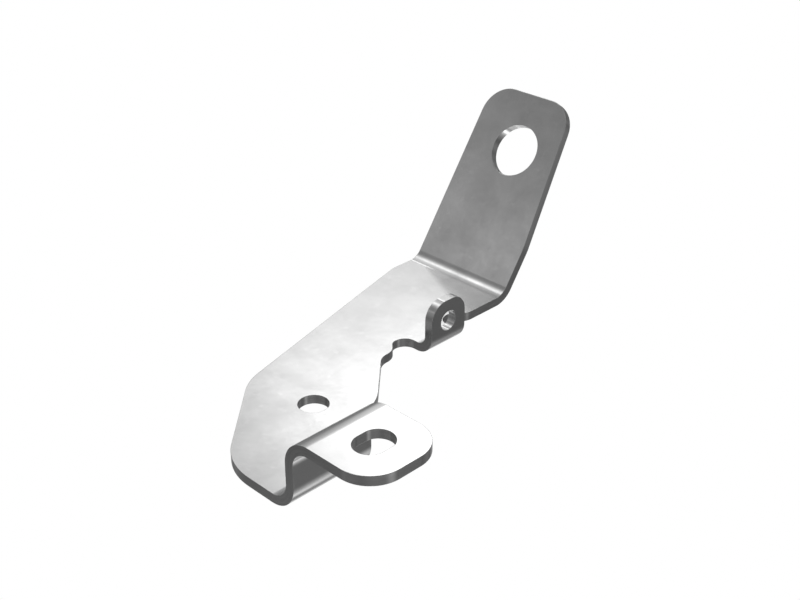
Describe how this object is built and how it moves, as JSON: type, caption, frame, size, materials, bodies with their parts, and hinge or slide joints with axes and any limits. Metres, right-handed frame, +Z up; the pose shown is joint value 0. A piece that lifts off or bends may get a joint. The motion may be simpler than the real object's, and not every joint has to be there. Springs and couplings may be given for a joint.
{
  "type": "mounting bracket",
  "caption": "Folded sheet-metal mounting bracket: flat base with a round hole, a raised slotted flange on a Z fold, a sloping leg with a large hole and a small upright tab.",
  "frame": {"origin": "centre of the base plate hole on the plate's underside", "axes": "+Z up through the base plate hole, +Y along the base plate towards the sloping leg, +X towards the raised flange"},
  "size_m": [0.1062, 0.1655, 0.0579],
  "materials": {
    "sheet_steel": "satin, as rolled and deburred"
  },
  "bodies": {
    "root": {"bracket": "sheet_steel"}
  },
  "joints": []
}
